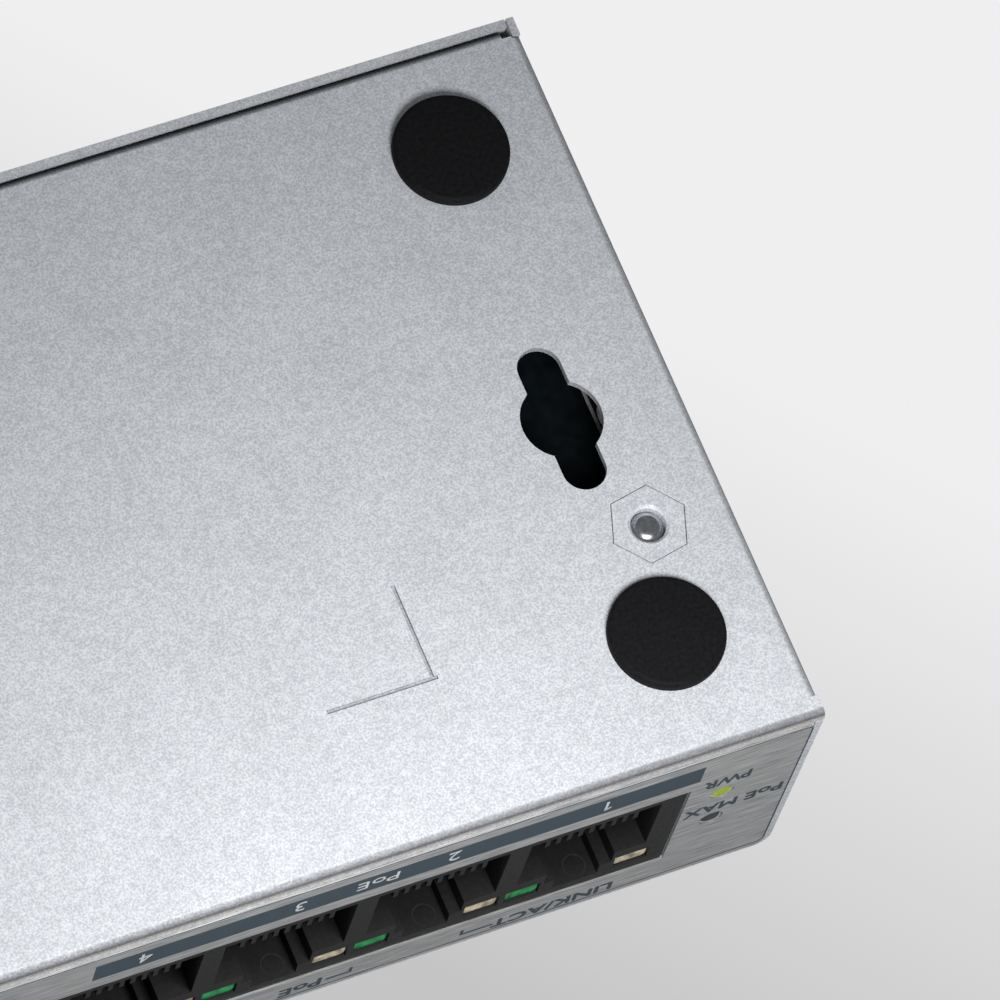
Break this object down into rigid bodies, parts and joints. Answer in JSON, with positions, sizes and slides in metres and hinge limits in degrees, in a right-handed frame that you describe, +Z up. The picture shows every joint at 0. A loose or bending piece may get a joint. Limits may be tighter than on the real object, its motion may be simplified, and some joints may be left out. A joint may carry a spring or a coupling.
{
  "type": "power over ethernet switch",
  "caption": "Small folded-steel desktop network switch with a row of keyed jacks and lamps, round feet, wall keyholes, side vents and a rear power inlet.",
  "frame": {"origin": "middle of the rectangle that the part stands on, at the underside of its feet", "axes": "+Z up, the jacks face -Y, +X to the right as seen from the front"},
  "size_m": [0.1, 0.069, 0.0285],
  "materials": {
    "case_steel": "fine grainy silver coating",
    "brushed_film": "brushed, printed",
    "foot_rubber": "matt",
    "board_laminate": "solder mask",
    "jack_plastic": "matt moulded",
    "contact_gold": "gold plated",
    "zinc_steel": "bright zinc",
    "lamp_cream": "frosted",
    "lamp_green": "clear tinted",
    "lamp_lime": "tinted",
    "lamp_dark": "unlit",
    "chip_black": "moulded",
    "can_aluminium": "drawn can",
    "print_ink": "printed"
  },
  "bodies": {
    "root": {"base_tray": "case_steel", "board_screws": "zinc_steel", "board_standoffs": "case_steel", "buck_inductor": "chip_black", "circuit_board": "board_laminate", "contact_carrier_1": "jack_plastic", "contact_carrier_2": "jack_plastic", "contact_carrier_3": "jack_plastic", "contact_carrier_4": "jack_plastic", "contact_carrier_5": "jack_plastic", "cover_screws": "zinc_steel", "crystal": "can_aluminium", "dc_inlet_housing": "jack_plastic", "dc_inlet_pin": "zinc_steel", "dc_inlet_spring": "zinc_steel", "front_film": "brushed_film", "input_fuse": "chip_black", "line_transformer_1": "chip_black", "line_transformer_2": "chip_black", "line_transformer_3": "chip_black", "link_light_1": "lamp_cream", "link_light_2": "lamp_cream", "link_light_3": "lamp_cream", "link_light_4": "lamp_cream", "link_light_5": "lamp_cream", "poe_controller": "chip_black", "poe_light_1": "lamp_green", "poe_light_2": "lamp_green", "poe_light_3": "lamp_green", "poe_light_4": "lamp_green", "poe_light_5": "lamp_green", "poe_max_lamp": "lamp_dark", "port_contacts_1": "contact_gold", "port_contacts_2": "contact_gold", "port_contacts_3": "contact_gold", "port_contacts_4": "contact_gold", "port_contacts_5": "contact_gold", "port_housing": "jack_plastic", "power_lamp": "lamp_lime", "rubber_foot_front_left": "foot_rubber", "rubber_foot_front_right": "foot_rubber", "rubber_foot_rear_left": "foot_rubber", "rubber_foot_rear_right": "foot_rubber", "status_lamp_holder": "jack_plastic", "storage_capacitor_1": "can_aluminium", "storage_capacitor_2": "can_aluminium", "surge_diode": "chip_black", "switch_chip": "chip_black", "top_cover": "case_steel"}
  },
  "joints": []
}
